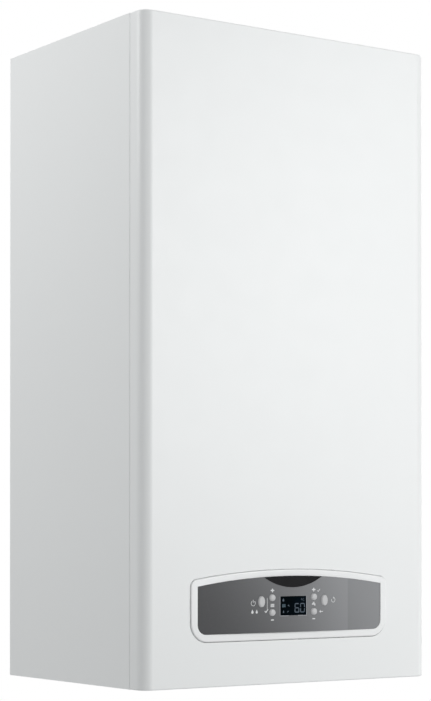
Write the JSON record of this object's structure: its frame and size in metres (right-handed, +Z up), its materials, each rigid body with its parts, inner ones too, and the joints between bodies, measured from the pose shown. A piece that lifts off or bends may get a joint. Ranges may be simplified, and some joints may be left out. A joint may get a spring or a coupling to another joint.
{
  "type": "wall-hung gas boiler",
  "caption": "White wall-hung gas boiler: removable front casing, tilting control panel with display and buttons, sealed chamber with burner and fan, pump and pipe connections.",
  "frame": {"origin": "midway between the two hanging holes, on the rear face that lies on the wall", "axes": "+X to the right seen from the front, +Y into the wall, +Z up; the front faces -Y"},
  "size_m": [0.4, 0.302, 0.7603],
  "materials": {
    "white_enamel": "satin white powder coat",
    "zinc_sheet": "galvanised sheet",
    "white_plastic": "semi-gloss moulded",
    "grey_fascia": "printed dark grey",
    "black_gloss": "gloss black",
    "display_glass": "dark clear window",
    "button_grey": "light grey moulded",
    "circuit_board": "green board",
    "grey_plastic": "moulded",
    "steel": "bright steel",
    "brass": "turned brass",
    "composite": "glass-filled moulding",
    "motor_black": "black painted",
    "cast_aluminium": "die cast",
    "copper": "drawn copper",
    "red_plastic": "red moulded",
    "blue_plastic": "blue moulded",
    "gauge_case": "black moulded",
    "needle_red": "painted",
    "vessel_red": "red paint",
    "silicone": "soft seal",
    "glass": "clear",
    "fibre_board": "ceramic fibre",
    "white_ceramic": "ceramic"
  },
  "bodies": {
    "chassis": {"left_side_panel": "white_enamel", "right_side_panel": "white_enamel", "back_frame": "zinc_sheet", "top_plate": "zinc_sheet", "bottom_plate": "zinc_sheet", "chamber_box": "zinc_sheet", "chamber_cover": "zinc_sheet", "combustion_walls": "zinc_sheet", "fume_hood": "zinc_sheet", "fan_housing": "zinc_sheet", "diverter_motor": "grey_plastic", "pressure_switch": "grey_plastic", "sheet_screws": "steel", "burner_frame": "steel", "burner_blades": "steel", "plate_exchanger": "steel", "pipe_connectors": "brass", "safety_valve": "brass", "flow_group": "composite", "return_group": "composite", "pump_motor": "motor_black", "fan_motor": "motor_black", "gas_valve": "cast_aluminium", "injector_manifold": "cast_aluminium", "flue_collar": "cast_aluminium", "air_collar": "cast_aluminium", "gas_pipe": "copper", "flow_pipe": "copper", "return_pipe": "copper", "expansion_pipe": "copper", "exchanger_tubes": "copper", "exchanger_block": "copper", "pressure_gauge": "gauge_case", "power_gland": "gauge_case", "expansion_vessel": "vessel_red", "chamber_seal": "silicone", "sight_glass": "glass", "insulation_boards": "fibre_board", "electrodes": "white_ceramic"},
    "casing": {"front_casing": "white_enamel"},
    "control_panel": {"control_bezel": "white_plastic", "control_fascia": "grey_fascia", "badge_plate": "black_gloss", "display_window": "display_glass", "display_board": "circuit_board", "control_tray": "grey_plastic", "main_board": "circuit_board", "panel_pivots": "steel"},
    "power_button": {"power_button": "button_grey"},
    "reset_button": {"reset_button": "button_grey"},
    "heating_plus_button": {"heating_plus_button": "button_grey"},
    "heating_minus_button": {"heating_minus_button": "button_grey"},
    "water_plus_button": {"water_plus_button": "button_grey"},
    "water_minus_button": {"water_minus_button": "button_grey"},
    "fan_wheel": {"fan_impeller": "steel"},
    "pump_wheel": {"pump_rotor": "steel"},
    "diverter_plug": {"diverter_spindle": "steel"},
    "relief_cap": {"relief_knob": "red_plastic"},
    "filling_cap": {"filling_knob": "blue_plastic"},
    "pointer": {"gauge_needle": "needle_red"}
  },
  "joints": [
    {"name": "casing_slide", "type": "slide", "parent": "chassis", "child": "casing", "axis": [0, -1, 0], "range_m": [0, 0.2]},
    {"name": "panel_tilt", "type": "hinge", "parent": "chassis", "child": "control_panel", "pos_m": [0, -0.293, -0.618], "axis": [1, 0, 0], "range_deg": [0, 50]},
    {"name": "power_button_press", "type": "slide", "parent": "control_panel", "child": "power_button", "axis": [0, 1, 0], "range_m": [0, 0.0008], "stiffness_N_per_m": 800},
    {"name": "reset_button_press", "type": "slide", "parent": "control_panel", "child": "reset_button", "axis": [0, 1, 0], "range_m": [0, 0.0008], "stiffness_N_per_m": 800},
    {"name": "heating_plus_button_press", "type": "slide", "parent": "control_panel", "child": "heating_plus_button", "axis": [0, 1, 0], "range_m": [0, 0.0008], "stiffness_N_per_m": 800},
    {"name": "heating_minus_button_press", "type": "slide", "parent": "control_panel", "child": "heating_minus_button", "axis": [0, 1, 0], "range_m": [0, 0.0008], "stiffness_N_per_m": 800},
    {"name": "water_plus_button_press", "type": "slide", "parent": "control_panel", "child": "water_plus_button", "axis": [0, 1, 0], "range_m": [0, 0.0008], "stiffness_N_per_m": 800},
    {"name": "water_minus_button_press", "type": "slide", "parent": "control_panel", "child": "water_minus_button", "axis": [0, 1, 0], "range_m": [0, 0.0008], "stiffness_N_per_m": 800},
    {"name": "fan_spin", "type": "hinge", "parent": "chassis", "child": "fan_wheel", "pos_m": [-0.03, -0.19, -0.022], "axis": [0, 1, 0], "continuous": true},
    {"name": "pump_spin", "type": "hinge", "parent": "chassis", "child": "pump_wheel", "pos_m": [0.118, -0.16, -0.475], "axis": [0, 1, 0], "continuous": true},
    {"name": "diverter_slide", "type": "slide", "parent": "chassis", "child": "diverter_plug", "axis": [0, 0, 1], "range_m": [0, 0.008]},
    {"name": "relief_turn", "type": "hinge", "parent": "chassis", "child": "relief_cap", "pos_m": [0.15, -0.18, -0.595], "axis": [0, -1, 0], "range_deg": [0, 90]},
    {"name": "filling_turn", "type": "hinge", "parent": "chassis", "child": "filling_cap", "pos_m": [-0.099, -0.11, -0.66], "axis": [0, 0, -1], "range_deg": [0, 360]},
    {"name": "pointer_turn", "type": "hinge", "parent": "chassis", "child": "pointer", "pos_m": [0.099, -0.218, -0.668], "axis": [0, 0, -1], "range_deg": [0, 270]}
  ]
}
